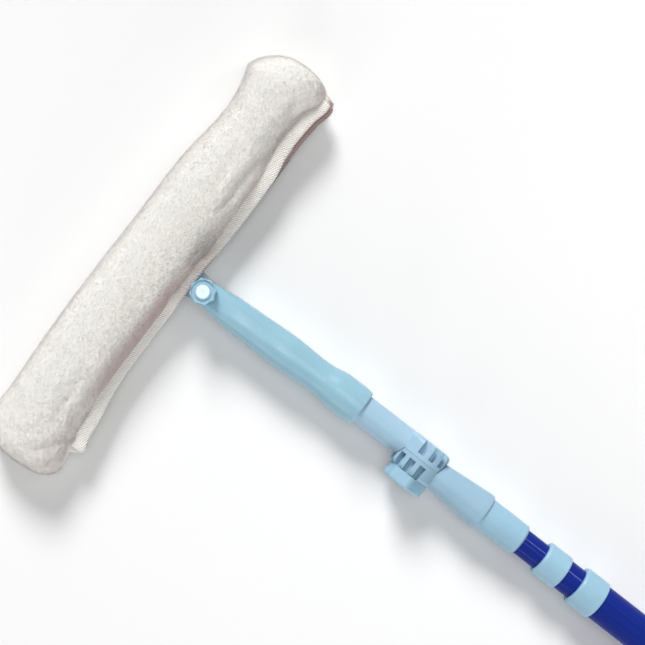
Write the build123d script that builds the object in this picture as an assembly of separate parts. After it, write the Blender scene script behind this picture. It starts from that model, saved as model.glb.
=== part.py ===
"""Window scrubber: a plush sleeve on a T-bar, a swivel head, an elbow and a telescopic pole.

Lengths are in millimetres. The pieces are drawn with the head's swivel axis at x = 0, y = 0.
+X runs along the pole away from the head, +Y along the sleeve, and the floor is z = 0. At the
end everything moves so that the origin is below the middle of the whole part.
"""

from build123d import *
import math
import os

# Fits and working values
running_gap = 0.06
face_gap = 0.1
seat_gap = 0.02
soft_gap = 0.3
overrun = 2.0

# Height of the pole's axis above the floor that the sleeve and the pommel lie on
axis_height = 19.0

# Head bar, stem and lug
bar_length = 320.0
bar_width = 36.0
bar_height = 14.0
bar_corner = 5.0
bar_wall = 2.2
stem_length = 30.5
stem_root_width = 28.0
lug_thickness = 8.0
lug_radius = 9.0
drain_slot_length = 16.0
drain_slot_width = 6.0
drain_end_margin = 30.0
drain_slots_per_side = 5
cap_plate = 2.0
cap_plug_length = 8.0
cap_plug_wall = 1.8

# Head pivot
pivot_bolt_radius = 3.0
pivot_head_width = 10.0
pivot_head_height = 3.5
pivot_head_play = 0.1
washer_thickness = 0.8
washer_margin = 1.0
ear_thickness = 5.5
knob_washer_thickness = 1.0
knob_washer_width = 4.0

# Small clamp knob on the head pivot
knob_radius = 9.8
knob_height = 8.4
knob_sides = 8
knob_scallop_depth = 0.35
knob_rim_width = 1.5
knob_recess_depth = 1.1
knob_ring_radius = 5.8
knob_ring_width = 0.9
knob_cap_thickness = 1.2
knob_cap_dimple_radius = 0.8
knob_cap_dimple_depth = 0.3
knob_insert_radius = 5.0
knob_insert_length = 4.5
knob_edge_round = 0.5

# Handle
handle_length = 140.5
handle_bell_wall = 3.4
handle_head_margin = 0.4
handle_head_round = 2.5
handle_side_offset = 3.1
handle_socket_depth = 29.0
handle_core_radius = 8.0
handle_core_start = 26.0
handle_mouth_round = 1.0
# Station along the handle, width and height over the bell's width, corner radius over the
# smaller of the two, and the centre line's share of the side offset
handle_section_shares = (
    (0.11, 0.764, 0.76, 0.34, 0.10),
    (0.24, 0.835, 0.80, 0.42, 0.26),
    (0.46, 0.924, 0.875, 0.47, 0.50),
    (0.57, 0.911, 0.875, 0.485, 0.62),
    (0.66, 0.861, 0.845, 0.49, 0.72),
    (0.735, 0.851, 0.851, 0.49, 0.82),
    (0.78, 0.890, 0.890, 0.49, 0.90),
    (0.82, 0.958, 0.958, 0.49, 0.96),
    (0.88, 0.995, 0.995, 0.49, 1.0),
    (0.93, 1.0, 1.0, 0.49, 1.0),
    (0.97, 0.985, 0.985, 0.49, 1.0),
    (1.0, 0.955, 0.955, 0.49, 1.0),
)

# Elbow: two half discs side by side, each with its own tube to one side of the split
adapter_length = 55.3
adapter_radius = 11.0
adapter_wall = 2.8
elbow_floor_gap = 1.0
elbow_side_offset = 2.5
elbow_split_gap = 0.1
elbow_relief_gap = 0.5
elbow_edge_round = 3.4
elbow_web = 6.0
pocket_count = 8
pocket_first_angle = -11.5
pocket_pitch_angle = 29.0
pocket_width = 5.2
pocket_depth = 5.2
pocket_band = 3.2
friction_washer_margin = 1.4
friction_washer_thickness = 1.6
elbow_bolt_radius = 3.0
elbow_head_width = 10.0
elbow_head_height = 4.0

# Wing knob on the elbow
wing_radius = 15.3
wing_width = 19.0
wing_corner = 5.0
wing_core_radius = 10.5
wing_thickness = 9.8
wing_first_angle = 108.0
wing_count = 3
wing_rim = 2.2
wing_recess_depth = 1.6
wing_edge_round = 1.6
wing_nut_width = 10.0
wing_nut_height = 5.0

# Cone below the elbow and the sleeve on the pole's tip
cone_length = 60.2
cone_start_wall = 0.7
cone_end_wall = 5.5
cone_rim_length = 4.0
cone_rim_round = 1.0
cone_socket_length = 38.0
spigot_radius = 8.4
tip_length = 33.1
tip_wall = 2.1
tip_wall_end = 6.0
tip_edge_round = 1.3

# Telescopic tubes
inner_tube_radius = 9.9
tube_step = 1.75
tube_wall = 0.8
inner_bare = 18.7
middle_bare = 12.6
slide_travel = 380.0
tube_overlap = 90.0

# Collars at the tube mouths
middle_collar_length = 19.4
outer_collar_length = 19.8
collar_wall = 1.4
collar_seat = 13.5
collar_round = 2.0
collar_end_round = 1.0

# Twist locks
lock_plug_length = 18.0
lock_flange = 2.0
lock_spindle_length = 28.0
lock_spindle_radius = 3.0
lock_cone_growth = 3.0
lock_cone_length = 12.0
lock_head_length = 3.0
lock_play = 0.25
lock_slit = 2.0
lock_stop_gap = 4.0

# Grip and hanging cap
grip_length = 128.0
grip_wall = 3.0
grip_nose_wall = 1.5
grip_nose_length = 12.0
grip_pommel_length = 16.0
grip_groove_depth = 0.9
grip_groove_width = 2.4
grip_groove_count = 10
grip_groove_start = 20.0
cap_stem_length = 14.0
cap_dome_length = 9.0
cap_dome_margin = 2.0
hang_tab_length = 17.0
hang_tab_width = 20.0
hang_tab_thickness = 6.0
hang_hole_radius = 5.0

# Plush sleeve
sleeve_middle = -3.0
sleeve_overhang = 16.0
pile_front = 9.0
pile_back = 6.5
pile_top = 13.0
sleeve_floor_cut = 0.5
# Station over half the length, then front edge, back edge and crown over their sizes
plush_section_shares = (
    (-1.0, 0.76, 0.95, 0.60),
    (-0.975, 0.87, 0.66, 0.83),
    (-0.90, 0.935, 0.50, 0.965),
    (-0.72, 0.945, 0.80, 1.0),
    (-0.40, 0.99, 1.0, 1.0),
    (0.0, 0.995, 1.08, 0.98),
    (0.40, 0.997, 0.96, 1.0),
    (0.66, 0.942, 0.93, 0.965),
    (0.80, 0.975, 0.85, 1.0),
    (0.885, 1.01, 0.80, 1.01),
    (0.955, 0.91, 0.88, 0.92),
    (1.0, 0.74, 1.1, 0.66),
)
# Where the arcs of a section meet, over its width or its height
plush_foot_share = 0.24
plush_shoulder_share = 0.15
plush_shoulder_height_share = 0.86
plush_side_height_share = 0.42

# Flaps of the sleeve, their tape and their closure
hem_clearance = 2.6
flap_thickness = 2.5
flap_lift_run = 14.0
tape_width = 8.0
tape_thickness = 0.8
closure_thickness = 2.4
closure_width = 7.0
closure_inset = 2.0
closure_margin = 4.0
closure_reach_share = 0.68
# Hem line: station over half the sleeve's length, setback from the pivot over the usual one
hem_line_shares = (
    (-0.80, -0.30),
    (-0.70, 0.12),
    (-0.50, 0.70),
    (-0.16, 0.86),
    (0.04, 0.99),
    (0.25, 0.87),
    (0.56, 0.87),
    (0.70, 0.93),
    (0.91, 0.72),
)
# Corners of the flaps past the hem line's ends, in the same shares
flap_low_corner_shares = (-0.845, 0.26)
flap_high_corner_shares = (0.94, 1.9)

# Radii and widths that follow from their neighbours
handle_head_radius = lug_radius + handle_head_margin
handle_bell_width = 2 * (adapter_radius + handle_bell_wall)
washer_radius = lug_radius - washer_margin
knob_washer_radius = pivot_bolt_radius + knob_washer_width
elbow_radius = axis_height - elbow_floor_gap
elbow_half_thickness = elbow_side_offset + adapter_radius
friction_washer_radius = elbow_radius - pocket_depth - friction_washer_margin
cone_start_radius = spigot_radius + cone_start_wall
cone_end_radius = spigot_radius + cone_end_wall
tip_radius = inner_tube_radius + tip_wall
middle_tube_radius = inner_tube_radius + tube_step
outer_tube_radius = middle_tube_radius + tube_step
outer_tube_length = slide_travel + tube_overlap
middle_collar_radius = middle_tube_radius + collar_wall
outer_collar_radius = outer_tube_radius + collar_wall
grip_radius = outer_tube_radius + grip_wall
cap_dome_radius = outer_tube_radius + cap_dome_margin
sleeve_length = bar_length + 2 * (cap_plate + sleeve_overhang)
sleeve_front = stem_length + bar_width + pile_front
sleeve_back = stem_length - pile_back
sleeve_height = axis_height + bar_height / 2 + pile_top
hem_setback = handle_head_radius + hem_clearance

# Stations along the pole's axis
elbow_x = handle_length + adapter_length
cone_end = elbow_x + cone_length
tip_end = cone_end + tip_length
middle_collar_start = tip_end + inner_bare
middle_collar_end = middle_collar_start + middle_collar_length
outer_collar_start = middle_collar_end + middle_bare
outer_collar_end = outer_collar_start + outer_collar_length
outer_tube_start = outer_collar_end - collar_seat
outer_tube_end = outer_tube_start + outer_tube_length
lock_length = lock_flange + lock_spindle_length
middle_tube_start = middle_collar_end - collar_seat
middle_tube_end = outer_tube_end - cap_stem_length - lock_stop_gap - lock_length
inner_tube_start = cone_end + tip_wall_end
inner_tube_end = middle_tube_end - lock_plug_length - lock_stop_gap - lock_length

# Sideways places: the handle's socket, the elbow's split and the pole's axis
adapter_y = handle_side_offset
split_y = adapter_y - elbow_side_offset
pole_y = split_y - elbow_side_offset

# Heights in the head pivot, over the axis
ear_inner = lug_thickness / 2 + washer_thickness + 2 * face_gap
ear_outer = ear_inner + ear_thickness
knob_base = ear_outer + knob_washer_thickness + 2 * face_gap
knob_top = knob_base + knob_height

# The bar's place and the flaps' levels over and under the axis
bar_back = -stem_length
bar_x = bar_back - bar_width / 2
flap_inner = closure_thickness / 2
flap_raised = lug_thickness / 2 + soft_gap


def rod_x(radius, start, end, y=0):
    """Round rod along the pole between two stations."""
    middle = Pos((start + end) / 2, y, axis_height)
    return middle * Rot(0, 90, 0) * Cylinder(radius, end - start)


def pipe_x(outer, inner, start, end, y=0):
    """Open pipe along the pole between two stations."""
    return rod_x(outer, start, end, y) - rod_x(inner, start - overrun, end + overrun, y)


def turned_x(points, y=0):
    """Solid of revolution about the pole's axis from (station, radius) points."""
    face = make_face(Polyline(*points, close=True))
    return Pos(0, y, axis_height) * revolve(face, Axis.X)


def rod_y(radius, low, high):
    """Round rod across the pole on the elbow's axis."""
    middle = Pos(elbow_x, (low + high) / 2, axis_height)
    return middle * Rot(90, 0, 0) * Cylinder(radius, high - low)


def rod_z(radius, low, high):
    """Round rod on the head's swivel axis, between heights over the pole's axis."""
    return Pos(0, 0, axis_height + (low + high) / 2) * Cylinder(radius, high - low)


def hexagon(width):
    """Hexagon of a given width across its flats."""
    return RegularPolygon(width / 2, 6, major_radius=False)


def hex_z(width, low, high):
    """Hexagonal prism on the head's swivel axis."""
    return Pos(0, 0, axis_height + low) * extrude(hexagon(width), high - low)


def hex_y(width, low, high):
    """Hexagonal prism on the elbow's axis."""
    return Pos(elbow_x, high, axis_height) * Rot(90, 0, 0) * extrude(hexagon(width), high - low)


# Head bar

def bar_section(width, height, corner, start, length):
    """Rounded bar along the sleeve from one station."""
    plane = Plane(origin=(bar_x, start, axis_height), x_dir=(1, 0, 0), z_dir=(0, 1, 0))
    return extrude(plane * RectangleRounded(width, height, corner), length)


def bar_bore(start, length, play):
    """Inside of the bar, shrunk by a play."""
    shrink = 2 * (bar_wall + play)
    corner = bar_corner - bar_wall - play
    return bar_section(bar_width - shrink, bar_height - shrink, corner, start, length)


def stem_plan():
    """Plan of the stem, from the bar to the round lug."""
    root = bar_back - bar_wall
    half = stem_root_width / 2
    points = [(root, -half), (0, -lug_radius), (0, lug_radius), (root, half)]
    return make_face(Polyline(*points, close=True)) + Circle(lug_radius)


def make_t_bar():
    """Hollow bar with drain slots, and the flat stem and lug for the handle's fork."""
    start = -bar_length / 2
    bar = bar_section(bar_width, bar_height, bar_corner, start, bar_length)
    bar -= bar_bore(start - overrun, bar_length + 2 * overrun, 0)
    slot = Rot(0, 0, 90) * SlotOverall(drain_slot_length, drain_slot_width)
    slot_bottom = axis_height - bar_height
    drain_pitch = (bar_length / 2 - drain_end_margin) / drain_slots_per_side
    for side in (-1, 1):
        for index in range(drain_slots_per_side):
            y = side * drain_pitch * (index + 1)
            bar -= Pos(bar_x, y, slot_bottom) * extrude(slot, 2 * bar_height)
    stem = Pos(0, 0, axis_height - lug_thickness / 2) * extrude(stem_plan(), lug_thickness)
    hole = rod_z(pivot_bolt_radius + running_gap, -lug_thickness, lug_thickness)
    return bar + stem - hole


def make_bar_cap(side):
    """End cap of the bar: a plate and a hollow plug."""
    end = side * bar_length / 2
    plate = bar_section(bar_width, bar_height, bar_corner, min(end, end + side * cap_plate), cap_plate)
    plug_start = min(end, end - side * cap_plug_length)
    plug = bar_bore(plug_start, cap_plug_length, seat_gap)
    hollow = bar_bore(plug_start, cap_plug_length, cap_plug_wall)
    return plate + (plug - hollow)


# Head pivot

def make_lug_washer(side):
    """Slip washer between the lug and one ear of the fork."""
    low = lug_thickness / 2 + face_gap
    high = low + washer_thickness
    levels = sorted((side * low, side * high))
    return rod_z(washer_radius, *levels) - rod_z(pivot_bolt_radius + running_gap, *levels)


def make_swivel_bolt():
    """Pivot bolt, its hexagon head sunk in the lower ear."""
    head_top = pivot_head_height - ear_outer
    shank_top = knob_base + knob_insert_length
    return hex_z(pivot_head_width, -ear_outer, head_top) + rod_z(pivot_bolt_radius, -ear_outer, shank_top)


def make_knob_washer():
    """Steel washer between the upper ear and the knob."""
    low = ear_outer + face_gap
    high = low + knob_washer_thickness
    return rod_z(knob_washer_radius, low, high) - rod_z(pivot_bolt_radius + running_gap, low, high)


def knob_plan():
    """Eight-sided plan with shallow scallops."""
    plan = RegularPolygon(knob_radius, knob_sides)
    flat = knob_radius * math.cos(math.pi / knob_sides)
    for index in range(knob_sides):
        angle = 360 * (index + 0.5) / knob_sides
        reach = flat - knob_scallop_depth + knob_radius
        plan -= Rot(0, 0, angle) * Pos(reach, 0) * Circle(knob_radius)
    return plan


def make_swivel_knob():
    """Clamp knob: raised rim, sunk ring and an inner ring around the cap."""
    knob = Pos(0, 0, axis_height + knob_base) * extrude(knob_plan(), knob_height)
    knob = fillet(knob.faces().sort_by(Axis.Z)[-1].outer_wire().edges(), knob_edge_round)
    recess_floor = knob_top - knob_recess_depth
    recess = rod_z(knob_radius - knob_rim_width, recess_floor, knob_top + overrun)
    ring = rod_z(knob_ring_radius, recess_floor - overrun, knob_top + overrun)
    knob -= recess - ring
    cap_seat = knob_top - knob_cap_thickness
    knob -= rod_z(knob_ring_radius - knob_ring_width, cap_seat, knob_top + overrun)
    insert_top = knob_base + knob_insert_length + seat_gap
    knob -= rod_z(knob_insert_radius + seat_gap, knob_base - overrun, insert_top)
    return knob


def make_knob_insert():
    """Threaded insert of the knob."""
    top = knob_base + knob_insert_length
    insert = rod_z(knob_insert_radius, knob_base, top)
    return insert - rod_z(pivot_bolt_radius + running_gap, knob_base - overrun, top + overrun)


def make_knob_cap():
    """Glossy cap in the knob's top, with a small dimple."""
    radius = knob_ring_radius - knob_ring_width - seat_gap
    cap = rod_z(radius, knob_top - knob_cap_thickness + seat_gap, knob_top)
    return cap - rod_z(knob_cap_dimple_radius, knob_top - knob_cap_dimple_depth, knob_top + overrun)


# Handle

def handle_section(station, width, height, corner, y):
    """One rounded section across the handle."""
    plane = Plane(origin=(station, y, axis_height), x_dir=(0, 1, 0), z_dir=(1, 0, 0))
    return plane * RectangleRounded(width, height, corner)


def make_head_handle():
    """Moulded handle: fork at the head, waist, and a bell around the socket."""
    head_width = 2 * handle_head_radius
    sections = [handle_section(0, head_width, 2 * ear_outer, handle_head_round, 0)]
    for station, width, height, corner, side in handle_section_shares:
        wide = width * handle_bell_width
        high = height * handle_bell_width
        round_off = corner * min(wide, high)
        y = side * handle_side_offset
        sections.append(handle_section(station * handle_length, wide, high, round_off, y))
    body = loft(sections)
    mouth = body.faces().sort_by(Axis.X)[-1].edges()
    body = fillet(mouth, handle_mouth_round)
    nose = rod_z(handle_head_radius, -ear_outer, ear_outer)
    nose = fillet(nose.edges(), handle_head_round)
    body += nose
    body = cut_fork(body)
    core_end = handle_length - handle_socket_depth
    body -= rod_x(handle_core_radius, handle_core_start, core_end + overrun, adapter_y / 2)
    bore = adapter_radius + running_gap
    body -= rod_x(bore, core_end, handle_length + overrun, adapter_y)
    return body


def cut_fork(body):
    """Slot for the lug, bolt hole and the pocket for the bolt's head."""
    slot_end = lug_radius + 2 * soft_gap + face_gap
    slot_start = -handle_head_radius - overrun
    slot = Box(slot_end - slot_start, 2 * handle_bell_width, 2 * ear_inner)
    body -= Pos((slot_start + slot_end) / 2, 0, axis_height) * slot
    body -= rod_z(pivot_bolt_radius + running_gap, -ear_outer - overrun, ear_outer + overrun)
    pocket = pivot_head_height + pivot_head_play - ear_outer
    body -= hex_z(pivot_head_width + 2 * pivot_head_play, -ear_outer - overrun, pocket)
    return body


# Elbow

def half_disc(side):
    """One disc of the elbow with its rim pockets; side is +1 or -1 across the pole."""
    inner = split_y + side * elbow_split_gap / 2
    outer = split_y + side * elbow_half_thickness
    disc = rod_y(elbow_radius, *sorted((inner, outer)))
    rim = disc.edges().filter_by(GeomType.CIRCLE).sort_by(Axis.Y)
    disc = fillet(rim[-1] if side > 0 else rim[0], elbow_edge_round)
    pocket_start = split_y + side * pocket_band
    pocket_end = outer + side * overrun
    pocket_low, pocket_high = sorted((pocket_start, pocket_end))
    pocket = Box(pocket_width, pocket_high - pocket_low, 2 * pocket_depth)
    for index in range(pocket_count):
        angle = side * (pocket_first_angle + index * pocket_pitch_angle)
        place = Pos(elbow_x, (pocket_low + pocket_high) / 2, axis_height) * Rot(0, angle, 0)
        disc -= place * Pos(0, 0, elbow_radius) * pocket
    return disc


def relief(side):
    """Room for the other half's disc, on one side of the split."""
    far = split_y + side * 2 * elbow_radius
    near = split_y - side * elbow_split_gap / 2
    return rod_y(elbow_radius + elbow_relief_gap, *sorted((near, far)))


def washer_seat(side):
    """Half of the sunk seat for the friction washer."""
    depth = friction_washer_thickness / 2 + face_gap / 2
    levels = sorted((split_y - side * overrun, split_y + side * depth))
    return rod_y(friction_washer_radius + running_gap, *levels)


def bolt_hole():
    """Hole for the elbow's bolt through everything on its axis."""
    reach = elbow_half_thickness + wing_thickness + overrun
    return rod_y(elbow_bolt_radius + running_gap, split_y - reach, split_y + reach)


def make_elbow_upper_half():
    """Tube that pushes into the handle, with the elbow's right disc."""
    start = handle_length - handle_socket_depth + face_gap
    tube = rod_x(adapter_radius, start, elbow_x, adapter_y) - relief(-1)
    half = tube + half_disc(1)
    bore_end = elbow_x - elbow_radius - elbow_web
    half -= rod_x(adapter_radius - adapter_wall, start - overrun, bore_end, adapter_y)
    head_floor = split_y + elbow_half_thickness - elbow_head_height
    head_end = split_y + elbow_half_thickness + overrun
    half -= hex_y(elbow_head_width + 2 * pivot_head_play, head_floor, head_end)
    return half - washer_seat(1) - bolt_hole()


def make_elbow_lower_half():
    """Flared cone that takes the pole's tip, with the elbow's left disc."""
    rim_start = cone_end - cone_rim_length
    points = [
        (elbow_x, 0),
        (elbow_x, cone_start_radius),
        (rim_start, cone_end_radius),
        (cone_end - cone_rim_round, cone_end_radius),
        (cone_end, cone_end_radius - cone_rim_round),
        (cone_end, 0),
    ]
    half = turned_x(points, pole_y) - relief(1) + half_disc(-1)
    half -= rod_x(spigot_radius + seat_gap, cone_end - cone_socket_length, cone_end + overrun, pole_y)
    return half - washer_seat(-1) - bolt_hole()


def make_friction_washer():
    """Friction washer between the elbow's halves."""
    half = friction_washer_thickness / 2
    washer = rod_y(friction_washer_radius, split_y - half, split_y + half)
    return washer - bolt_hole()


def make_elbow_bolt():
    """Elbow's bolt, its head sunk in the upper half, its end in the wing knob's nut."""
    head_low = split_y + elbow_half_thickness - elbow_head_height
    head_high = split_y + elbow_half_thickness - face_gap
    tip = split_y - elbow_half_thickness - face_gap - wing_nut_height
    return hex_y(elbow_head_width, head_low, head_high) + rod_y(elbow_bolt_radius, tip, head_high)


def wing_place():
    """Seat of the wing knob, its axis pointing away from the elbow."""
    return Pos(elbow_x, split_y - elbow_half_thickness - face_gap, axis_height) * Rot(90, 0, 0)


def make_wing_knob():
    """Clamp knob with three blunt lobes and a sunk outer face."""
    lobe = Pos(wing_radius / 2, 0) * RectangleRounded(wing_radius, wing_width, wing_corner)
    plan = Circle(wing_core_radius)
    for index in range(wing_count):
        plan += Rot(0, 0, wing_first_angle + index * 360 / wing_count) * lobe
    knob = extrude(plan, wing_thickness)
    knob = fillet(knob.faces().sort_by(Axis.Z)[-1].outer_wire().edges(), wing_edge_round)
    recess = Cylinder(wing_core_radius - wing_rim, 2 * wing_recess_depth)
    knob -= Pos(0, 0, wing_thickness) * recess
    nut_room = hexagon(wing_nut_width + 2 * seat_gap)
    knob -= Pos(0, 0, -overrun) * extrude(nut_room, wing_nut_height + overrun + seat_gap)
    return wing_place() * knob


def make_wing_nut():
    """Hexagon nut pressed into the wing knob."""
    nut = extrude(hexagon(wing_nut_width), wing_nut_height)
    nut -= Cylinder(elbow_bolt_radius + running_gap, 2 * (wing_nut_height + overrun))
    return wing_place() * nut


# Pole

def make_tip_sleeve():
    """Sleeve on the inner tube's end, with the spigot that goes into the cone."""
    points = [
        (cone_end - cone_socket_length + face_gap, 0),
        (cone_end - cone_socket_length + face_gap, spigot_radius),
        (cone_end + face_gap, spigot_radius),
        (cone_end + face_gap, tip_radius),
        (tip_end - tip_edge_round, tip_radius),
        (tip_end, tip_radius - tip_edge_round),
        (tip_end, 0),
    ]
    sleeve = turned_x(points, pole_y)
    return sleeve - rod_x(inner_tube_radius + seat_gap, inner_tube_start, tip_end + overrun, pole_y)


def make_tube(radius, start, end):
    """One thin-walled tube of the pole."""
    return pipe_x(radius, radius - tube_wall, start, end, pole_y)


def make_collar(start, end, radius, tube_radius, passing_radius):
    """Rounded collar: a lip that guides the thinner tube, and a seat for its own tube."""
    collar = rod_x(radius, start, end, pole_y)
    collar = fillet(collar.edges().filter_by(GeomType.CIRCLE).sort_by(Axis.X)[0], collar_round)
    collar = fillet(collar.edges().filter_by(GeomType.CIRCLE).sort_by(Axis.X)[-1], collar_end_round)
    collar -= rod_x(passing_radius + running_gap, start - overrun, end, pole_y)
    return collar - rod_x(tube_radius + seat_gap, end - collar_seat, end + overrun, pole_y)


def make_lock_plug(tube_radius, tube_end):
    """Plug in a tube's end, with the tapered spindle of the twist lock."""
    cone_start = tube_end + lock_flange + lock_head_length
    cone_stop = cone_start + lock_cone_length
    head_start = tube_end + lock_length - lock_head_length
    plug_radius = tube_radius - tube_wall - seat_gap
    points = [
        (tube_end - lock_plug_length, 0),
        (tube_end - lock_plug_length, plug_radius),
        (tube_end, plug_radius),
        (tube_end, tube_radius),
        (tube_end + lock_flange, tube_radius),
        (tube_end + lock_flange, lock_spindle_radius),
        (cone_start, lock_spindle_radius),
        (cone_stop, lock_spindle_radius + lock_cone_growth),
        (head_start, lock_spindle_radius + lock_cone_growth),
        (head_start, tube_radius - lock_play),
        (tube_end + lock_length, tube_radius - lock_play),
        (tube_end + lock_length, 0),
    ]
    return turned_x(points, pole_y)


def make_lock_expander(tube_radius, tube_end, outside_radius):
    """Split sleeve around the spindle, which the taper spreads against the outer tube."""
    start = tube_end + lock_flange + lock_play
    cone_start = tube_end + lock_flange + lock_head_length
    cone_stop = cone_start + lock_cone_length
    end = tube_end + lock_length - lock_head_length - lock_play
    small = lock_spindle_radius + lock_play
    large = small + lock_cone_growth
    outer = outside_radius - tube_wall - running_gap
    points = [
        (start, small),
        (start, outer),
        (end, outer),
        (end, large),
        (cone_stop, large),
        (cone_start, small),
    ]
    sleeve = turned_x(points, pole_y)
    slit = Box(end - start + 2 * overrun, lock_slit, 2 * outside_radius)
    place = Pos((start + end) / 2, pole_y, axis_height + outside_radius)
    return sleeve - place * slit


def make_end_grip():
    """Hand grip: rounded nose, grooved barrel and the pommel that lies on the floor."""
    end = outer_tube_end
    start = end - grip_length
    pommel_start = end - grip_pommel_length
    points = [
        (start, 0),
        (start, outer_tube_radius + grip_nose_wall),
        (start + grip_nose_length, grip_radius),
        (pommel_start - grip_pommel_length, grip_radius),
        (pommel_start, axis_height),
        (end - collar_round, axis_height),
        (end, axis_height - collar_round),
        (end, 0),
    ]
    grip = turned_x(points, pole_y)
    grooved_length = grip_length - 2 * grip_pommel_length - grip_groove_start
    pitch = grooved_length / grip_groove_count
    for index in range(grip_groove_count):
        groove = start + grip_groove_start + index * pitch
        floor = grip_radius - grip_groove_depth
        grip -= pipe_x(grip_radius + overrun, floor, groove, groove + grip_groove_width, pole_y)
    return grip - rod_x(outer_tube_radius + seat_gap, start - overrun, end + overrun, pole_y)


def make_end_cap():
    """Cap in the pole's end: plug, dome and a tab with the hanging hole."""
    end = outer_tube_end
    plug_radius = outer_tube_radius - tube_wall - seat_gap
    dome_end = end + cap_dome_length
    points = [
        (end - cap_stem_length, 0),
        (end - cap_stem_length, plug_radius),
        (end + seat_gap, plug_radius),
        (end + seat_gap, cap_dome_radius),
        (end + cap_dome_length / 2, cap_dome_radius),
        (dome_end, hang_tab_width / 2),
        (dome_end, 0),
    ]
    cap = turned_x(points, pole_y)
    eye_x = dome_end + hang_tab_length - hang_tab_width / 2
    plan = Pos((end + eye_x) / 2, 0) * Rectangle(eye_x - end, hang_tab_width)
    plan += Pos(eye_x, 0) * Circle(hang_tab_width / 2)
    tab_place = Pos(0, pole_y, axis_height - hang_tab_thickness / 2)
    cap += tab_place * extrude(plan, hang_tab_thickness)
    hole = extrude(Pos(eye_x, 0) * Circle(hang_hole_radius), 2 * hang_tab_thickness)
    return cap - Pos(0, pole_y, axis_height - hang_tab_thickness) * hole


# Sleeve

def sleeve_y(share):
    """Place along the sleeve from a share of half its length."""
    return sleeve_middle + share * sleeve_length / 2


def plush_section(station, front_share, back_share, crown_share):
    """Section of the plush body: flat foot, bulging sides and a crown."""
    y = sleeve_y(station)
    front = -sleeve_front * front_share
    back = -sleeve_back * back_share
    top = sleeve_height * crown_share
    width = back - front
    foot = -sleeve_floor_cut
    side = plush_side_height_share * top
    shoulder = plush_shoulder_height_share * top
    foot_front = (front + plush_foot_share * width, y, foot)
    foot_back = (back - plush_foot_share * width, y, foot)
    shoulder_front = (front + plush_shoulder_share * width, y, shoulder)
    shoulder_back = (back - plush_shoulder_share * width, y, shoulder)
    edges = [
        Line(foot_back, foot_front),
        ThreePointArc(foot_front, (front, y, side), shoulder_front),
        ThreePointArc(shoulder_front, ((front + back) / 2, y, top), shoulder_back),
        ThreePointArc(shoulder_back, (back, y, side), foot_back),
    ]
    return make_face(edges)


def hem_points(inset):
    """Points of the hem line, moved towards the sleeve by an inset."""
    return [(-hem_setback * back - inset, sleeve_y(share)) for share, back in hem_line_shares]


def flap_plan():
    """Plan of both flaps: from inside the plush out to the hem line."""
    hem = hem_points(0)
    low = (-hem_setback * flap_low_corner_shares[1], sleeve_y(flap_low_corner_shares[0]))
    high = (-hem_setback * flap_high_corner_shares[1], sleeve_y(flap_high_corner_shares[0]))
    rest = Polyline(hem[-1], high, (bar_x, high[1]), (bar_x, low[1]), low, hem[0])
    return make_face([Spline(*hem), rest])


def hem_band(inset, width):
    """Plan of a band that follows the hem line."""
    near = hem_points(inset)
    far = hem_points(inset + width)
    edges = [Spline(*near), Line(near[-1], far[-1]), Spline(*far), Line(far[0], near[0])]
    return make_face(edges)


def lifted_layer(inner, raised, thickness):
    """Layer over the closure that lies flat and lifts over the stem, as deep as the head."""
    reach = sleeve_length
    flat = stem_root_width / 2 + soft_gap
    foot = flat + flap_lift_run
    middle = (flat + foot) / 2
    low = axis_height + inner
    high = axis_height + raised

    def line(level):
        return [
            Line((-reach, low + level), (-foot, low + level)),
            Bezier((-foot, low + level), (-middle, low + level), (-middle, high + level), (-flat, high + level)),
            Line((-flat, high + level), (flat, high + level)),
            Bezier((flat, high + level), (middle, high + level), (middle, low + level), (foot, low + level)),
            Line((foot, low + level), (reach, low + level)),
        ]

    ends = [Line((side * reach, low), (side * reach, low + thickness)) for side in (-1, 1)]
    face = Plane.YZ * make_face(line(0) + line(thickness) + ends)
    return Pos(-sleeve_front, 0, 0) * extrude(face, 2 * sleeve_front)


def layer(plan, inner, raised, thickness, side):
    """Piece of a layer inside a plan, over the closure or mirrored under it."""
    piece = extrude(plan, 2 * axis_height) & lifted_layer(inner, raised, thickness)
    if side > 0:
        return piece
    return mirror(piece, about=Plane.XY.offset(axis_height))


def make_sleeve():
    """Plush body with its two flaps, hollow for the bar and open for the stem."""
    body = loft([plush_section(*shares) for shares in plush_section_shares])
    plan = flap_plan()
    for side in (-1, 1):
        body += layer(plan, flap_inner, flap_raised, flap_thickness, side)
    below = Box(4 * sleeve_front, 2 * sleeve_length, 2 * axis_height)
    body -= Pos(0, 0, -axis_height) * below
    room = bar_length + 2 * (cap_plate + soft_gap)
    width = bar_width + 2 * soft_gap
    height = bar_height + 2 * soft_gap
    body -= bar_section(width, height, bar_corner + soft_gap, -room / 2, room)
    stem_room = Box(sleeve_front, stem_root_width + 2 * soft_gap, 2 * flap_raised)
    return body - Pos(bar_back + sleeve_front / 2 - bar_wall, 0, axis_height) * stem_room


def make_tape(side):
    """Twill tape along the edge of one flap."""
    start = flap_inner + flap_thickness
    raised = flap_raised + flap_thickness
    return layer(hem_band(0, tape_width), start, raised, tape_thickness, side)


def make_closure(side):
    """Closure strips of one flap, one each side of the stem."""
    band = hem_band(closure_inset, closure_width)
    near = stem_root_width / 2 + soft_gap + flap_lift_run + closure_margin
    far = closure_reach_share * sleeve_length / 2
    thickness = closure_thickness / 2
    base = axis_height + min(0, side * thickness)
    strips = []
    for end in (-1, 1):
        window = Rectangle(4 * sleeve_front, far - near)
        plan = band & (Pos(0, end * (near + far) / 2) * window)
        strips.append(Pos(0, 0, base) * extrude(plan, thickness))
    return Compound(children=[solid for strip in strips for solid in strip.solids()])


# The whole part

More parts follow.
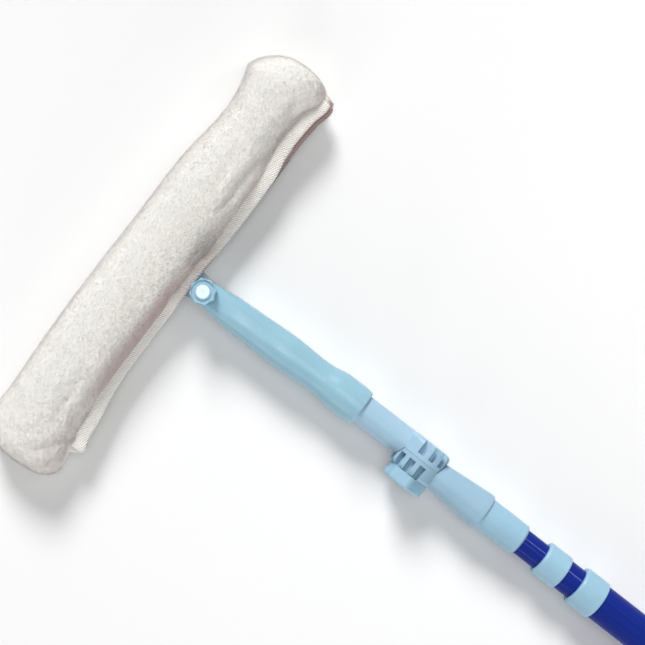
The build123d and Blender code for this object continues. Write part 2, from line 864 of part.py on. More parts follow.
def make_parts():
    """Every piece under its name, in the drawing frame."""
    return {
        "t_bar": make_t_bar(),
        "t_bar_end_cap_left": make_bar_cap(1),
        "t_bar_end_cap_right": make_bar_cap(-1),
        "sleeve_plush": make_sleeve(),
        "hem_tape_upper": make_tape(1),
        "hem_tape_lower": make_tape(-1),
        "loop_strips": make_closure(1),
        "hook_strips": make_closure(-1),
        "lug_washer_upper": make_lug_washer(1),
        "lug_washer_lower": make_lug_washer(-1),
        "swivel_bolt": make_swivel_bolt(),
        "knob_washer": make_knob_washer(),
        "swivel_knob": make_swivel_knob(),
        "swivel_knob_insert": make_knob_insert(),
        "knob_cap_disc": make_knob_cap(),
        "head_handle": make_head_handle(),
        "elbow_upper_half": make_elbow_upper_half(),
        "elbow_lower_half": make_elbow_lower_half(),
        "elbow_friction_washer": make_friction_washer(),
        "elbow_bolt": make_elbow_bolt(),
        "elbow_wing_knob": make_wing_knob(),
        "wing_knob_nut": make_wing_nut(),
        "pole_tip_sleeve": make_tip_sleeve(),
        "inner_tube": make_tube(inner_tube_radius, inner_tube_start, inner_tube_end),
        "inner_lock_plug": make_lock_plug(inner_tube_radius, inner_tube_end),
        "inner_lock_expander": make_lock_expander(inner_tube_radius, inner_tube_end, middle_tube_radius),
        "middle_tube": make_tube(middle_tube_radius, middle_tube_start, middle_tube_end),
        "middle_collar": make_collar(
            middle_collar_start, middle_collar_end, middle_collar_radius, middle_tube_radius, inner_tube_radius
        ),
        "middle_lock_plug": make_lock_plug(middle_tube_radius, middle_tube_end),
        "middle_lock_expander": make_lock_expander(middle_tube_radius, middle_tube_end, outer_tube_radius),
        "outer_tube": make_tube(outer_tube_radius, outer_tube_start, outer_tube_end),
        "outer_collar": make_collar(
            outer_collar_start, outer_collar_end, outer_collar_radius, outer_tube_radius, middle_tube_radius
        ),
        "end_grip": make_end_grip(),
        "end_cap": make_end_cap(),
    }


def main():
    """Writes every piece, with the origin below the middle of the part."""
    os.makedirs("parts", exist_ok=True)
    pieces = make_parts()
    boxes = [piece.bounding_box() for piece in pieces.values()]
    low = Vector(*(min(getattr(box.min, axis) for box in boxes) for axis in "XYZ"))
    high = Vector(*(max(getattr(box.max, axis) for box in boxes) for axis in "XYZ"))
    middle = (low + high) / 2
    shift = Vector(-middle.X, -middle.Y, -low.Z)
    for name, piece in pieces.items():
        export_step(Pos(shift) * piece, f"parts/{name}.step")
    print("size", high - low)
    print("head pivot", shift + Vector(0, 0, axis_height))
    print("elbow pivot", shift + Vector(elbow_x, split_y, axis_height))
    print("pole axis", shift + Vector(0, pole_y, axis_height))
    eye_x = outer_tube_end + cap_dome_length + hang_tab_length - hang_tab_width / 2
    print("hanging hole", shift + Vector(eye_x, pole_y, axis_height))


main()
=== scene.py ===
"""Looks of the window scrubber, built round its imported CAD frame.

The sleeve, its hem tapes and its closure strips are mesh code. All rigid parts are the CAD nodes with
procedural materials. Lengths are in metres, but the sleeve's are in millimetres from the head's pivot.
"""

import math

import bmesh
import bpy
import numpy as np
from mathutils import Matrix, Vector, noise


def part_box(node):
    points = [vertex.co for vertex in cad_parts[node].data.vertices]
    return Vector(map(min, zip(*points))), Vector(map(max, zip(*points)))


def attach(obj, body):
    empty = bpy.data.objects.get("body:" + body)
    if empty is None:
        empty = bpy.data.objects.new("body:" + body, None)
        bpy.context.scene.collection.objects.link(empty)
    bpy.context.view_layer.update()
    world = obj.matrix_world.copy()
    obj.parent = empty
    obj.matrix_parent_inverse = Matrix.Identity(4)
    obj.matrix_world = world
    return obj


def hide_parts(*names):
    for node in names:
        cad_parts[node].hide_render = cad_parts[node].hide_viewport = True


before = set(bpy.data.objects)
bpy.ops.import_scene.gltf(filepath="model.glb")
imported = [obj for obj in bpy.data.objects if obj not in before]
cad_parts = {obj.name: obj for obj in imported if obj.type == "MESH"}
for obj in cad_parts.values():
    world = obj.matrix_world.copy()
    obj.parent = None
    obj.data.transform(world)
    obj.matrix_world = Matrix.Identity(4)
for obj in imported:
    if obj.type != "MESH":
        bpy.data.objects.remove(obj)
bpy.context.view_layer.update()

MM = 0.001
random = np.random.default_rng(7)


# Places taken from the frame

def middle(node):
    """Centre of a CAD node's box."""
    low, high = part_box(node)
    return (low + high) / 2


pivot = middle("swivel_bolt")
axis = middle("inner_tube")
pivot_foot = np.array([pivot.x, pivot.y, 0])


def placed(points):
    """Millimetres from the pivot, with heights over the floor, as places in the frame."""
    return np.asarray(points, float) * MM + pivot_foot


def from_pivot(points):
    """Places in the frame as millimetres from the pivot."""
    return (points - pivot_foot) / MM


# Objects and meshes

soften_factor = 0.5


def linked(name, data):
    """Object of a mesh, lamp or camera, put into the scene."""
    made = bpy.data.objects.new(name, data)
    bpy.context.scene.collection.objects.link(made)
    return made


def smooth_shaded(mesh):
    mesh.polygons.foreach_set("use_smooth", np.ones(len(mesh.polygons), bool))
    return mesh


def shown(name, points, faces):
    """Smooth-shaded mesh object of points and faces."""
    mesh = bpy.data.meshes.new(name)
    mesh.from_pydata([tuple(p) for p in points], [], [tuple(int(i) for i in f) for f in faces])
    mesh.update()
    return linked(name, smooth_shaded(mesh))


def vertex_values(mesh, key):
    """Three numbers of each vertex of a mesh."""
    flat = np.zeros(len(mesh.vertices) * 3, np.float32)
    mesh.vertices.foreach_get(key, flat)
    return flat.reshape(-1, 3).astype(float)


def points_of(piece):
    return vertex_values(piece.data, "co")


def normals_of(piece):
    return vertex_values(piece.data, "normal")


def move_points(piece, points):
    piece.data.vertices.foreach_set("co", points.astype(np.float32).ravel())
    piece.data.update()


def mark(piece, name, values):
    """Number at each point of the piece, for its material."""
    layer = piece.data.attributes.new(name, "FLOAT", "POINT")
    layer.data.foreach_set("value", np.asarray(values, np.float32))


def evaluated(piece):
    """New mesh of the piece as its modifiers leave it. The piece loses them."""
    depsgraph = bpy.context.evaluated_depsgraph_get()
    mesh = bpy.data.meshes.new_from_object(piece.evaluated_get(depsgraph))
    piece.modifiers.clear()
    return mesh


def applied(piece):
    """The piece with its modifiers made part of its mesh."""
    piece.data = smooth_shaded(evaluated(piece))
    return piece


def remeshed(piece, voxel, smoothing):
    """The piece as one closed skin of even faces."""
    remesh = piece.modifiers.new("skin", "REMESH")
    remesh.mode = "VOXEL"
    remesh.voxel_size = voxel
    remesh.use_smooth_shade = True
    smooth = piece.modifiers.new("soften", "SMOOTH")
    smooth.factor = soften_factor
    smooth.iterations = smoothing
    return applied(piece)


def joined(name, pieces):
    """One piece made of several."""
    merged = bmesh.new()
    for piece in pieces:
        merged.from_mesh(piece.data)
        bpy.data.objects.remove(piece)
    mesh = bpy.data.meshes.new(name)
    merged.to_mesh(mesh)
    merged.free()
    return linked(name, smooth_shaded(mesh))


def tube_faces(rings, around):
    """Faces between rings of points, closed round each ring and at both ends."""
    faces = []
    for r in range(rings - 1):
        for i in range(around):
            j = (i + 1) % around
            faces.append((r * around + i, r * around + j, (r + 1) * around + j, (r + 1) * around + i))
    faces.append(tuple(reversed(range(around))))
    faces.append(tuple((rings - 1) * around + i for i in range(around)))
    return faces


def slab_faces(rows, wide):
    """Faces of a thin slab: two sheets of points, one after the other, and the border between them."""
    total = rows * wide
    faces = []
    for r in range(rows - 1):
        for i in range(wide - 1):
            quad = [r * wide + i, r * wide + i + 1, (r + 1) * wide + i + 1, (r + 1) * wide + i]
            faces += [quad, [total + k for k in reversed(quad)]]
    border = list(range(wide)) + [r * wide + wide - 1 for r in range(1, rows)]
    border += [total - 1 - i for i in range(1, wide)] + [r * wide for r in range(rows - 2, 0, -1)]
    for i, j in zip(border, border[1:] + border[:1]):
        faces.append([j, i, total + i, total + j])
    return faces


# Curves and steps

def curve_through(knots, values, at):
    """Smooth curve through the knots, read at the given places."""
    knots, values, at = (np.asarray(numbers, float) for numbers in (knots, values, at))
    slopes = np.gradient(values, knots)
    at = np.clip(at, knots[0], knots[-1])
    i = np.clip(np.searchsorted(knots, at, side="right") - 1, 0, len(knots) - 2)
    step = knots[i + 1] - knots[i]
    t = (at - knots[i]) / step
    a = (1 + 2 * t) * (1 - t) ** 2 * values[i] + t * (1 - t) ** 2 * step * slopes[i]
    b = t * t * (3 - 2 * t) * values[i + 1] + t * t * (t - 1) * step * slopes[i + 1]
    return a + b


def closed_curve(points, count):
    """Smooth closed curve through points."""
    points = np.asarray(points, float)
    n = len(points)
    at = np.linspace(0, n, count, endpoint=False)
    i = at.astype(int)
    t = (at - i)[:, None]
    p0, p1, p2, p3 = (points[(i + k) % n] for k in (-1, 0, 1, 2))
    return 0.5 * (2 * p1 + (p2 - p0) * t + (2 * p0 - 5 * p1 + 4 * p2 - p3) * t**2
                  + (3 * p1 - p0 - 3 * p2 + p3) * t**3)


def eased(value, low, high):
    """Smooth step from 0 at low to 1 at high."""
    t = np.clip((np.asarray(value, float) - low) / (high - low), 0, 1)
    return t * t * (3 - 2 * t)


def bell(value, centre, spread):
    """Smooth bump, 1 high at its centre."""
    return np.exp(-((value - centre) / spread) ** 2)


def unit(vectors):
    """Vectors of length one."""
    return vectors / np.linalg.norm(vectors, axis=1, keepdims=True)


def noise_at(points, size):
    """Noise at each point, with swells of the given size."""
    return np.array([noise.noise(Vector(p) / size) for p in points])


# Camera: straight above, turned so that the sleeve and the pole cross the picture as photographed

camera_turn = math.radians(37.9)
camera_lens = 74.2
camera_sensor = 36
camera_near = 0.01
camera_far = 50
# Place from the pivot and height over the pole's axis
camera_x = 80.1 * MM
camera_y = 34.7 * MM
camera_height = 958 * MM
image_right = Vector((math.cos(camera_turn), math.sin(camera_turn), 0))
image_up = Vector((-math.sin(camera_turn), math.cos(camera_turn), 0))


def make_camera():
    data = bpy.data.cameras.new("camera")
    data.lens = camera_lens
    data.sensor_width = camera_sensor
    data.clip_start = camera_near
    data.clip_end = camera_far
    camera = linked("camera", data)
    camera.location = (pivot.x + camera_x, pivot.y + camera_y, axis.z + camera_height)
    camera.rotation_euler = (0, 0, camera_turn)
    bpy.context.scene.camera = camera


# Sleeve: outline of the plush body, in millimetres from the head's pivot

# Place along the sleeve, front edge, back edge, crown's height
body_stations = (
    (-178.8, -46, -29, 26),
    (-178.2, -52, -22, 29.5),
    (-177, -58, -15, 32.4),
    (-174.5, -64.4, -8.2, 34.8),
    (-171, -68.4, -4.2, 36.2),
    (-167, -70.4, -2.4, 36.8),
    (-160, -71.5, -2.2, 37.3),
    (-144, -70.5, -6, 38),
    (-128, -71.5, -9, 38.6),
    (-100, -73.5, -11, 39),
    (-60, -75, -12, 39.2),
    (-30, -75.3, -12, 38.8),
    (0, -75.3, -12, 38.6),
    (30, -75.6, -12, 38.7),
    (60, -75.8, -13.6, 38.8),
    (90, -73.6, -16.5, 38.4),
    (112, -71.3, -21, 37.6),
    (128, -72.8, -22, 38.4),
    (144, -76.6, -20, 39.2),
    (151, -79, -17, 38.9),
    (157, -75.2, -13.6, 38.4),
    (163, -69.6, -14.6, 37.6),
    (168, -63, -18.5, 36.2),
    (171.3, -54, -26, 32.8),
    (172.8, -45, -34, 27),
)
# Points of a section, as shares of its width from the front and of its height
section_shape = (
    (0.30, 0.0), (0.09, 0.10), (0.005, 0.36), (0.05, 0.68), (0.20, 0.92), (0.46, 1.0), (0.72, 0.955),
    (0.88, 0.83), (0.955, 0.68), (0.985, 0.52), (0.955, 0.30), (0.87, 0.08), (0.72, 0.0),
)
# Places of the body's rings along the sleeve, closer together at its rounded ends
ring_places = np.concatenate([
    [-178.8, -178.5, -178.0],
    np.linspace(-177, -168, 8),
    np.linspace(-165, 160, 66),
    np.linspace(162.0, 172.8, 12),
])
ring_points = 56
# Radius under both ends of the body, where it leaves the floor
end_round = 13.0


def end_lift():
    """Height of the body's underside over the floor at each ring."""
    reach = np.minimum(ring_places - ring_places[0], ring_places[-1] - ring_places)
    reach = np.clip(reach, 0, end_round)
    return end_round - np.sqrt(end_round**2 - (end_round - reach) ** 2)


def body_ring(front, back, crown, low):
    """Section of the body between two edges, from its underside to its crown."""
    section = [(front + s * (back - front), low + t * (crown - low)) for s, t in section_shape]
    return closed_curve(section, ring_points)


def body_rings(inset):
    """Closed skin of the plush body, drawn in by an inset."""
    table = np.array(body_stations)
    front, back, crown = (curve_through(table[:, 0], table[:, k], ring_places) for k in (1, 2, 3))
    rows = zip(ring_places, front + inset, back - inset, crown - inset, end_lift())
    points = []
    for y, *section in rows:
        points += [(x, y, max(z, 0.0)) for x, z in body_ring(*section)]
    return np.array(points), tube_faces(len(ring_places), ring_points)


# Hem: where the two flaps behind the body end

# Place along the sleeve, edge
hem_line = (
    (-150, -3.6), (-144, 1.6), (-136, -0.8), (-120, -2.9), (-104, -6.1), (-88, -8.3), (-56, -9.4),
    (-16, -9.6), (8, -9.8), (40, -9.0), (56, -9.0), (104, -10.4), (120, -11.2), (144, -10.1),
    (160, -8.3), (165, -10.5),
)
# How far each flap stays back, and the stretch along the sleeve in which that starts or ends
upper_back = 2.8
upper_back_from = (92, 116)
lower_back = 2.0
lower_back_until = (20, 45)


def hem_edge(y):
    """Edge of the hem at a place along the sleeve."""
    line = np.array(hem_line)
    return curve_through(line[:, 0], line[:, 1], y)


def hem_out(y, side):
    """Edge of one flap: the lower one shows past the upper one at the far end."""
    if side > 0:
        return hem_edge(y) - upper_back * eased(y, *upper_back_from)
    return hem_edge(y) - lower_back * (1 - eased(np.abs(y), *lower_back_until))


# Flaps: two layers with the closure between them. Side is 1 for the upper and -1 for the lower one,
# and a setback is a distance from the hem along the flap

# Distance of the inner faces from the middle between the flaps, beside the stem and over it
flap_inner = 1.2
flap_raised = 4.3
flap_thickness = 2.5
# Half width of the stretch that the stem lifts, and length of the slope beside it
stem_half = 14.3
lift_run = 14.0
# Tape on the outer faces, arched across its width
tape_width = 9.5
tape_thickness = 0.6
tape_rise = 0.75
tape_crown = 0.8
tape_arch_power = 0.7
# The flaps hang down at the hem, from the first of two setbacks and in full from the second
droop_angle = math.radians(16)
droop_start = 14.0
droop_full = 6.0
# Stretches in which the droop grows beside the stem, ends, and at the near end is partly lost
droop_grows = (17, 44)
droop_ends = (40, 100)
droop_fades = (85, 130)
droop_lost = 0.5
# Slow waves along the flaps: height, length and phase
flap_waves = ((0.9, 17.0, 0.6), (0.6, 7.3, 2.0))
wave_share = 0.7
wave_droop_loss = 0.8
wave_grows = (30, 90)
wave_reach = 13
# Rise of the flaps at both ends
far_rise = 2.6
far_rise_from = (95, 150)
far_rise_lower_share = 0.2
near_rise = 0.8
near_rise_from = (110, 146)
# Middle line between the flaps
line_step = 0.25
line_setbacks = np.arange(-3.0, 60.0, line_step)
# Grid of the middle's heights, and the setbacks that fill it
grid_rows = np.linspace(-160, 170, 67)
grid_columns = np.linspace(-30, 8, 77)
grid_setbacks = np.linspace(40, -2, 85)
grid_margin = 1.001
# Slab of a flap, rounded over the last part of its steps
flap_along = np.linspace(-150, 165, 220)
flap_steps = np.linspace(0, 1, 16)
flap_root = 30.0
flap_round_from = 0.93
flap_round = 0.07
flap_thinnest = 0.02


def flap_level(y, side):
    """Distance of a flap's inner face from the middle between the flaps."""
    lift = 1 - eased(np.abs(y), stem_half, stem_half + lift_run)
    return side * (flap_inner + (flap_raised - flap_inner) * lift)


def flap_droop(y):
    """Slope of both flaps at the hem: they hang down, but not over the stem nor at the far end."""
    grown = droop_angle * eased(np.abs(y), *droop_grows)
    return grown * (1 - eased(y, *droop_ends)) * (1 - droop_lost * eased(-y, *droop_fades))


def flap_wave(y, setback, side):
    """Slow waves of a flap, which grow towards its edge and its two ends."""
    y = np.asarray(y, float)
    wave = sum(high * np.sin(y / long + phase) for high, long, phase in flap_waves)
    wave = eased(np.abs(y), *wave_grows) * wave * wave_share
    wave *= 1 - wave_droop_loss * flap_droop(y) / droop_angle
    follow = 1 if side > 0 else far_rise_lower_share
    rise = far_rise * eased(y, *far_rise_from) * follow + near_rise * eased(-y, *near_rise_from)
    return (1 - eased(setback, 0, wave_reach)) * (wave + rise)


def middle_line(y):
    """Line across the middle between the flaps: distance in from the hem, height and slope."""
    slope = flap_droop(y) * (1 - eased(line_setbacks, droop_full, droop_start))
    between = (slope[1:] + slope[:-1]) / 2
    run = np.concatenate([[0], np.cumsum(line_step * np.cos(between))])
    rise = np.concatenate([[0], np.cumsum(line_step * np.sin(between))])
    return run - np.interp(0, line_setbacks, run), rise - rise[-1], slope


def flap_places(y, setbacks, offsets, side):
    """Places across a flap: setback along it from its edge, offset from the middle between the flaps."""
    lines = middle_line(y)
    x, z, slope = (np.interp(setbacks, line_setbacks, line) for line in lines)
    offsets = np.asarray(offsets, float) + flap_wave(y, np.maximum(setbacks, 0), side)
    bulge = (flap_level(y, 1) + flap_thickness + tape_rise) * math.sin(lines[2][0])
    out = hem_out(y, side) - bulge - x + offsets * np.sin(slope)
    return out, axis.z / MM + z + offsets * np.cos(slope)


def sewn_edge(y):
    """Inner edge of the tape, as seen from above."""
    top = flap_inner + flap_thickness
    cover = [hem_edge(row) - flap_places(row, tape_width, top, 1)[0] for row in grid_rows]
    return hem_edge(y) - np.interp(y, grid_rows, cover)


def middle_heights():
    """Heights of the middle between the flaps, on the grid."""
    heights = []
    for row in grid_rows:
        x, z = flap_places(row, grid_setbacks, np.zeros(len(grid_setbacks)), -1)
        heights.append(np.interp(grid_columns, x, z))
    return np.array(heights)


def grid_place(values, lines):
    """Grid line before each value, and the share of the way to the next one."""
    at = np.clip((values - lines[0]) / (lines[1] - lines[0]), 0, len(lines) - grid_margin)
    return at.astype(int), at % 1


def flap_height(points):
    """Height of each point over the middle between the flaps."""
    heights = middle_heights()
    x, y, z = points.T
    i, u = grid_place(y, grid_rows)
    j, v = grid_place(x, grid_columns)
    level = ((1 - u) * (1 - v) * heights[i, j] + u * (1 - v) * heights[i + 1, j]
             + (1 - u) * v * heights[i, j + 1] + u * v * heights[i + 1, j + 1])
    return z - level


def make_flap(side):
    """Closed slab of one flap, from inside the body out to its edge."""
    past = np.clip((flap_steps - flap_round_from) / flap_round, 0, 1)
    thick = np.sqrt(np.clip(1 - past ** 2, flap_thinnest, 1))
    setbacks = flap_root * (1 - flap_steps)
    points = []
    for y in flap_along:
        centre = flap_level(y, side) + side * flap_thickness / 2
        half = side * thick * flap_thickness / 2
        outer = list(zip(*flap_places(y, setbacks, centre + half, side)))
        under = list(zip(*flap_places(y, setbacks, centre - half, side)))
        points += [(x, y, z) for x, z in outer + under[::-1]]
    faces = tube_faces(len(flap_along), 2 * len(flap_steps))
    if side > 0:
        faces = [f[::-1] for f in faces]
    return shown("flap", placed(points), faces)


# Plush: folds, seams and clumps of the skin, in millimetres

# Creases: both ends of each, its depth and its half width; a negative depth is a ridge
creases = (
    (-46, 104, -36, 62, 0.7, 3.6),
    (-24, 124, -27.5, 44, 2, 2.3),
    (-19.6, 122, -20.6, 50, -1.5, 2.3),
    (-32, 100, -33.5, 56, -0.4, 3),
    (-31, 152, -21, 106, 1.4, 2.8),
    (-24, 40, -19, 0, 0.6, 3.2),
    (-33, -88, -24, -146, 1, 4.2),
    (-42, -105, -37, -156, -0.4, 4.5),
    (-28, -168, -9, -136, 1.1, 3.4),
)
# How a crease wanders, fades at both ends and sets in over the floor
crease_wander = 0.8
crease_turns = 9
crease_fade = 0.25
crease_rise = (16, 26)
# Slow waves on the back
fold_height = 0.6
fold_along = 11.0
fold_across = 9.0
fold_back = (-46, -16)
fold_rise = (14, 30)
# Seam that closes each end
seam_height = 17.0
seam_depth = 1.5
seam_half = 1.7
seam_wander = 0.7
seam_wander_length = 5.0
seam_near = (171, 175.5)
seam_far = (167.5, 171)
# Coarse and fine clumps of the pile; the fine ones are higher on the back
coarse_size = 12.0
coarse_height = 0.4
clump_size = 3.0
clump_height = 0.16
clump_back_more = 0.2
clump_back = (-58, -28)
# Folds and clumps end at the tape's sewn edge, over this stretch
sewn_before = 1
sewn_after = 0.5
lowest_skin = 0.05
# Cloth that swells the body, into the room that its inset leaves
cloth_settings = {
    "quality": 6,
    "mass": 0.3,
    "tension_stiffness": 12,
    "compression_stiffness": 12,
    "bending_stiffness": 0.6,
    "use_pressure": True,
    "uniform_pressure_force": 3.0,
}
cloth_frames = 20
cloth_voxel = 4 * MM
cloth_room = 0.5
cloth_cap = 1.3 * MM
skin_voxel = 1.1 * MM
skin_smoothing = 3


def crease_depth(crease, x, y, z):
    """Depth of one crease."""
    x0, y0, x1, y1, deep, half = crease
    dx, dy = x1 - x0, y1 - y0
    t = np.clip(((x - x0) * dx + (y - y0) * dy) / (dx * dx + dy * dy), 0, 1)
    wander = crease_wander * np.sin(t * crease_turns + x0)
    away = np.hypot(x - x0 - t * dx - wander, y - y0 - t * dy)
    fade = eased(t, 0, crease_fade) * (1 - eased(t, 1 - crease_fade, 1)) * eased(z, *crease_rise)
    return deep * fade * bell(away, 0, half)


def end_seam(x, y, z):
    """Depth of the seams that close both ends."""
    at_end = np.maximum(eased(-y, *seam_near), eased(y, *seam_far))
    wander = seam_wander * np.sin(x / seam_wander_length)
    return seam_depth * at_end * bell(z - seam_height, wander, seam_half)


def fold_depth(x, y, z):
    """Height of the folds in the plush: slow waves on the back, less its creases and end seams."""
    back = eased(x, *fold_back) * eased(z, *fold_rise)
    folds = fold_height * back * np.sin(y / fold_along + x / fold_across)
    for crease in creases:
        folds -= crease_depth(crease, x, y, z)
    return folds - end_seam(x, y, z)


def pile_height(points):
    """Clumps of the pile at each point, lower on the front half."""
    fine = clump_height + clump_back_more * eased(points[:, 0], *clump_back)
    return coarse_height * noise_at(points, coarse_size) + fine * noise_at(points, clump_size)


def inflated(piece):
    """The piece swollen by a short cloth simulation, no point further than the cap."""
    remeshed(piece, cloth_voxel, 0)
    start = points_of(piece)
    cloth = piece.modifiers.new("cloth", "CLOTH")
    for key, value in cloth_settings.items():
        setattr(cloth.settings, key, value)
    cloth.settings.effector_weights.gravity = 0
    cloth.collision_settings.use_self_collision = False
    scene = bpy.context.scene
    for number in range(1, cloth_frames + 1):
        scene.frame_set(number)
    mesh = evaluated(piece)
    scene.frame_set(1)
    step = vertex_values(mesh, "co") - start
    bpy.data.meshes.remove(mesh)
    length = np.linalg.norm(step, axis=1, keepdims=True)
    step *= np.minimum(1, cloth_cap / np.maximum(length, 1e-9))
    move_points(piece, start + step)
    return piece


def make_body():
    """Plush body without its flaps, swollen by a short cloth simulation."""
    points, faces = body_rings(inset=cloth_room)
    body = shown("body", placed(points), faces)
    inflated(body)
    subdivision = body.modifiers.new("round", "SUBSURF")
    subdivision.levels = subdivision.render_levels = 1
    applied(body)
    return body


def make_plush():
    """Body and flaps as one skin, with folds and a short clumped pile."""
    skin = joined("sleeve_pile", [make_body(), make_flap(1), make_flap(-1)])
    remeshed(skin, skin_voxel, skin_smoothing)
    points = from_pivot(points_of(skin))
    sewn = sewn_edge(points[:, 1])
    on_body = 1 - eased(points[:, 0], sewn - sewn_before, sewn + sewn_after)
    depth = on_body * (pile_height(points) + fold_depth(*points.T))
    points += normals_of(skin) * depth[:, None]
    points[:, 2] = np.maximum(points[:, 2], lowest_skin)
    move_points(skin, placed(points))
    # Marks for the painted warm shade and the painted shade specks of the pile
    mark(skin, "shade", painted_shade_of(points))
    mark(skin, "speck", painted_shade_specks(points))
    return skin


# Painted shade and painted shade specks of the pile, from 0 to 1

# Painted shade in the valley beside the tape, more round the stem, at the front edge and between the flaps
valley_shade = 0.56
stem_shade = 0.14
stem_shade_bell = (5, 45)
front_shade = 0.1
between_shade = 0.7
# The valley's reach from the sewn edge; it is wider and paler at the near end
valley_from = -2
valley_reach = 7.5
valley_more_reach = 10
valley_near_end = (85, 125)
valley_near_loss = 0.75
# Share of its shade that is left at the far end, and the heights where it sets in
valley_far_share = 0.4
valley_fades = (-30, 40)
valley_rise = (8, 16)
front_edge = (-76, -66)
# Painted shade between the flaps
between_reach = 6
between_half = 3.0
between_from = 70
# Painted shade specks: their noise is brought up by the added number and multiplied with the gain
speck_strength = 0.04
speck_back_more = 0.24
speck_stem_more = 0.33
speck_stem_bell = (10, 60)
speck_back = (-56, -22)
speck_rise = (12, 22)
speck_size = 1.1
speck_added = 0.08
speck_gain = 1.8


def valley_of(x, y, z):
    """How deep each point lies in the valley beside the tape."""
    near_end = eased(-y, *valley_near_end)
    valley = 1 - eased(sewn_edge(y) - x, valley_from, valley_reach + valley_more_reach * near_end)
    kept = valley_far_share + (1 - valley_far_share) * (1 - eased(y, *valley_fades))
    return valley * (kept * eased(z, *valley_rise) * (1 - valley_near_loss * near_end))


def painted_shade_of(points):
    """Warm painted shade: in the valley beside the tape, between the flaps and, faintly, at the front
    edge.
    """
    x, y, z = points.T
    valley = (valley_shade + stem_shade * bell(y, *stem_shade_bell)) * valley_of(x, y, z)
    front = 1 - eased(x, *front_edge)
    between = (x > hem_edge(y) - between_reach) & (y > between_from)
    between &= np.abs(flap_height(points)) < between_half
    return np.clip(valley + front_shade * front + between_shade * between, 0, 1)


def painted_shade_specks(points):
    """Painted shade specks, darker where the pile parts, stronger on the side towards the hem."""
    x, y, z = points.T
    more = speck_back_more + speck_stem_more * bell(y, *speck_stem_bell)
    strength = speck_strength + more * eased(x, *speck_back) * eased(z, *speck_rise)
    return strength * np.clip((noise_at(points, speck_size) + speck_added) * speck_gain, 0, 1)


# Pile: short bent strands over the whole skin

strand_count = 130000
# Sizes of a strand in millimetres, and the angles of its three corners at the root
strand_length = 0.9
strand_longer = 0.6
strand_half = 0.15
strand_root = 0.4
strand_lowest = 0.1
strand_corners = (0, 2.094, 4.189)
# A strand leans with its neighbours, in swirls of this size, and by chance
swirl_size = 1.05
swirl_lean = 0.7
chance_lean = 0.35
# Share of a strand's own way in its shading normal
facing_lean = 0.24
# No pile grows between the flaps: reach from the hem, room over the inner faces and least slope
bare_reach = 22
bare_room = 1.0
bare_slope = 0.3
# Nor under the tape: room at its sewn edge and over it, and half its length
tape_edge_room = 0.3
tape_room = 1.6
tape_half_length = 163
# Nor where the skin faces the floor from close by
floor_room = 1.0
floor_slope = 0.5


def on_pile(points, normals):
    """Which places grow pile: not under the tapes, between the flaps or on the floor."""
    x, y, z = points.T
    height = flap_height(points)
    inner = flap_level(y, 1)
    inside = (x > hem_edge(y) - bare_reach) & (np.abs(height) < inner + bare_room)
    inside &= normals[:, 2] * np.sign(height) < -bare_slope
    under_tape = (x > sewn_edge(y) - tape_edge_room) & (np.abs(y) < tape_half_length)
    under_tape &= np.abs(height) < inner + flap_thickness + tape_room
    low = (z < floor_room) & (normals[:, 2] < -floor_slope)
    return ~(inside | under_tape | low)


def triangles_of(mesh):
    """Corners of the mesh's triangles."""
    mesh.calc_loop_triangles()
    corners = np.zeros(len(mesh.loop_triangles) * 3, np.int32)
    mesh.loop_triangles.foreach_get("vertices", corners)
    return corners.reshape(-1, 3)


def scattered(skin, count):
    """Places spread evenly over the skin, with the skin's normal at each."""
    corners = triangles_of(skin.data)
    places = points_of(skin)
    a, b, c = (places[corners[:, k]] for k in range(3))
    areas = np.linalg.norm(np.cross(b - a, c - a), axis=1)
    chosen = corners[random.choice(len(corners), count, p=areas / areas.sum())]
    u, v = random.random((2, count))
    flip = u + v > 1
    u[flip], v[flip] = 1 - u[flip], 1 - v[flip]
    shares = (1 - u - v, u, v)
    roots, normals = (sum(values[chosen[:, k]] * shares[k][:, None] for k in range(3))
                      for values in (places, normals_of(skin)))
    return roots, unit(normals)


def strand_ways(roots, normals):
    """Direction of each strand: outward, swirling with its neighbours and a little by chance."""
    swirl = np.array([noise.noise_vector(Vector(p) / (swirl_size * MM)) for p in roots])
    return unit(normals + swirl_lean * swirl + chance_lean * random.normal(size=(len(roots), 3)))


def strand_points(roots, normals, ways):
    """Three corners at the root of each strand, sunk into the skin, and its tip."""
    count = len(roots)
    length = (strand_length + strand_longer * random.random(count))[:, None] * MM
    side = unit(np.cross(ways, random.normal(size=(count, 3))))
    other = np.cross(ways, side)
    base = roots - normals * strand_root * MM
    width = strand_half * MM
    foot = [base + width * (math.cos(a) * side + math.sin(a) * other) for a in strand_corners]
    tip = roots + ways * length
    tip[:, 2] = np.maximum(tip[:, 2], strand_lowest * MM)
    return np.stack([*foot, tip], axis=1).reshape(-1, 3)


def make_strands(skin, count):
    """Three-sided strands, leaning at random, rooted in the skin."""
    roots, normals = scattered(skin, count)
    keep = on_pile(from_pivot(roots), normals)
    roots, normals = roots[keep], normals[keep]
    ways = strand_ways(roots, normals)
    points = strand_points(roots, normals, ways)
    first = np.arange(len(roots))[:, None] * 4
    faces = np.concatenate([first + np.array(f) for f in ((0, 1, 3), (1, 2, 3), (2, 0, 3))])
    piece = shown("sleeve_pile_strands", points, faces)
    mark(piece, "tip", np.tile([0, 0, 0, 1], len(roots)))
    places = from_pivot(roots)
    # Painted warm shade and painted shade specks, as on the skin
    mark(piece, "shade", np.repeat(painted_shade_of(places), 4))
    mark(piece, "speck", np.repeat(painted_shade_specks(places), 4))
    facing = np.repeat(unit(normals + facing_lean * ways), 4, axis=0)
    piece.data.normals_split_custom_set_from_vertices(facing.astype(np.float32).tolist())
    return piece


# Tapes, in millimetres

# Their rows along the sleeve
tape_along = np.linspace(-146, 161, 308)
# Turn round the hem, to the setback and drop of the tape's end
tape_flat_points = 9
turn_start = 0.6
turn_radius = 0.9
turn_first = 0.25
turn_points = 5
tape_end = (-0.3, -1.7)
